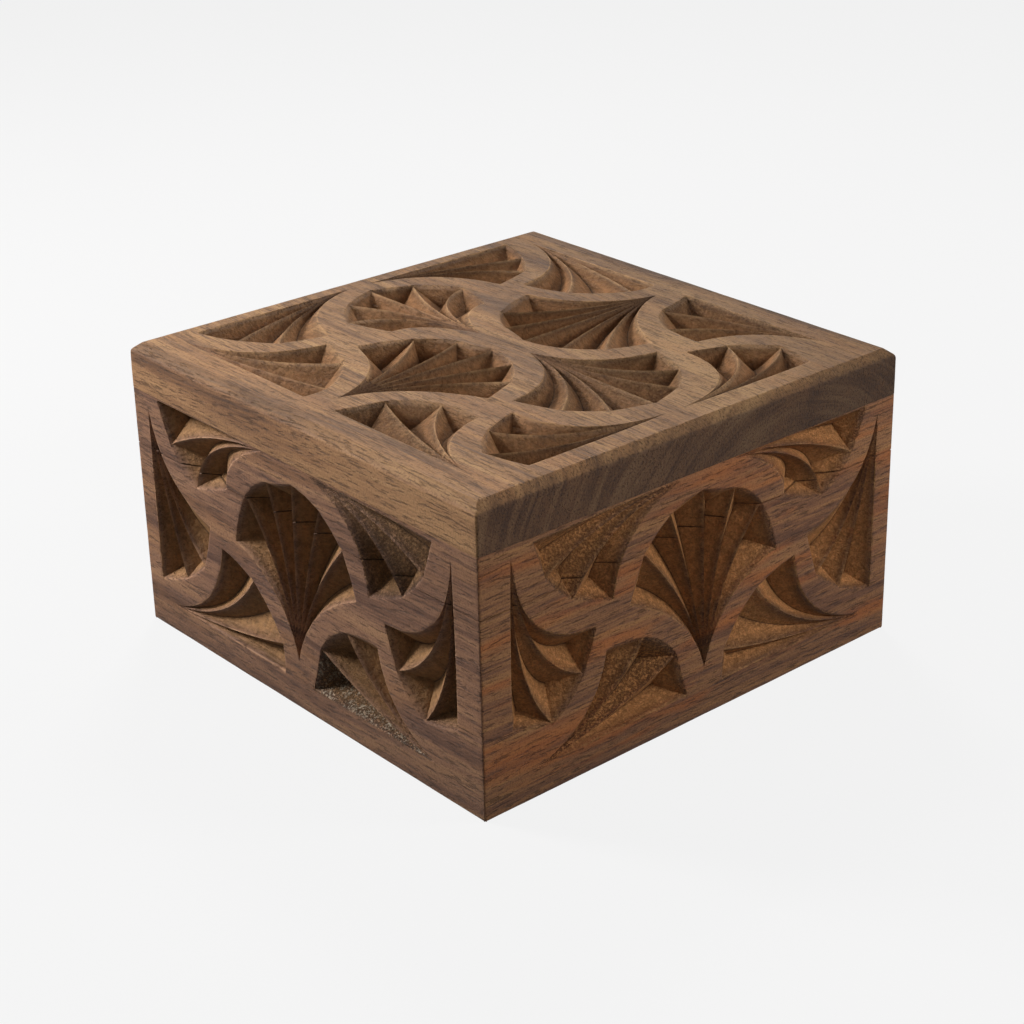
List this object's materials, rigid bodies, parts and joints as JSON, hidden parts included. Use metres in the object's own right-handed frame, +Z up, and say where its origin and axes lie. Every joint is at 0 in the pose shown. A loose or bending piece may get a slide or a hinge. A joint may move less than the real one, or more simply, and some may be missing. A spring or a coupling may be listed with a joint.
{
  "type": "carved wooden puzzle box",
  "caption": "Square carved hardwood box with a hidden lock: a sliding bottom panel uncovers the lock pin, and the freed lid swivels open on a corner dowel.",
  "frame": {"origin": "centre of the underside, on the surface that the box stands on", "axes": "+Z up through the lid; the face with its carving the right way round that the panel slides away from looks along -Y; +X is to the right of it; the bottom panel slides out along +Y"},
  "size_m": [0.1, 0.1, 0.0573],
  "materials": {
    "carved_wood": "hand-carved figured hardwood, lightly waxed",
    "top_wood": "hand-carved figured hardwood, lightly waxed and worn",
    "inner_wood": "planed hardwood, unfinished",
    "panel_wood": "planed hardwood, lightly waxed",
    "dowel_wood": "turned pale hardwood, unfinished",
    "steel": "plain steel"
  },
  "bodies": {
    "base": {"base_front_wall": "carved_wood", "base_back_wall": "carved_wood", "base_left_wall": "carved_wood", "base_right_wall": "carved_wood", "floor_board": "inner_wood", "pivot_post": "inner_wood", "lock_post": "inner_wood", "panel_stop_peg": "dowel_wood"},
    "lid": {"lid_top_board": "top_wood", "lid_front_rim": "carved_wood", "lid_back_rim": "carved_wood", "lid_left_rim": "carved_wood", "lid_right_rim": "carved_wood", "lid_pivot_block": "inner_wood", "lid_lock_block": "inner_wood", "pivot_dowel": "dowel_wood", "pivot_washer": "steel", "pivot_screw": "steel"},
    "pin": {"lock_pin": "steel"},
    "panel": {"bottom_panel": "panel_wood"}
  },
  "joints": [
    {"name": "lid_swivel", "type": "hinge", "parent": "base", "child": "lid", "pos_m": [-0.033, 0.033, 0.0372], "axis": [0, 0, 1], "range_deg": [0, 110]},
    {"name": "pin_drop", "type": "slide", "parent": "lid", "child": "pin", "axis": [0, 0, 1], "range_m": [-0.007, 0]},
    {"name": "panel_slide", "type": "slide", "parent": "base", "child": "panel", "axis": [0, 1, 0], "range_m": [0, 0.022]}
  ]
}
